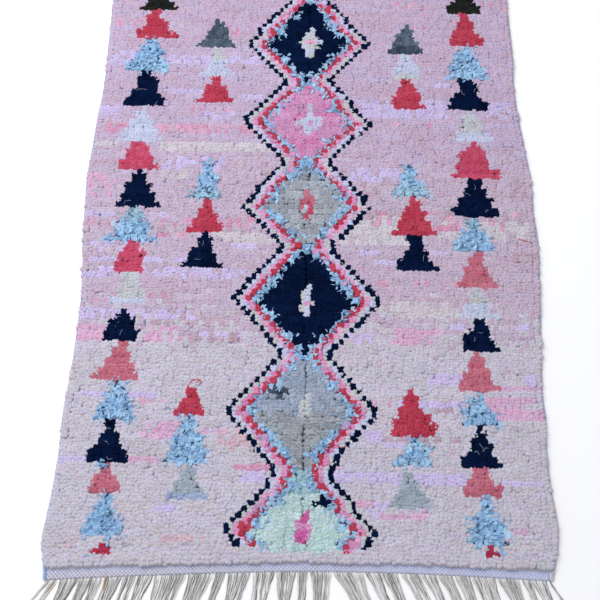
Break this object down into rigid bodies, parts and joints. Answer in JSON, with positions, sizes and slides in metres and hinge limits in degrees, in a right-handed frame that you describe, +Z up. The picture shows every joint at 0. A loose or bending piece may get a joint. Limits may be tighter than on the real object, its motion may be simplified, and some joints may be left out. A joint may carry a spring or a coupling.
{
  "type": "berber rug",
  "caption": "Flat hand-knotted wool rug with a chain of stepped diamonds, columns of small triangles, overcast edges and a fringed end.",
  "frame": {"origin": "on the floor under the middle of the whole rug, fringe included", "axes": "+X across the rug, +Y along it away from the fringed end, +Z up out of the pile"},
  "size_m": [1.3136, 2.1208, 0.0173],
  "materials": {
    "pile_wool": "lilac-pink wool pile with navy, red, pale blue, cream, grey and mint knots",
    "overcast_yarn": "pale blue-grey wrapped yarn",
    "woven_band": "lavender-grey plain weave with grey-white cotton warp ends"
  },
  "bodies": {
    "root": {"pile_field": "pile_wool", "selvedge_left": "overcast_yarn", "selvedge_right": "overcast_yarn", "near_band_fringe": "woven_band", "far_band": "woven_band"}
  },
  "joints": []
}
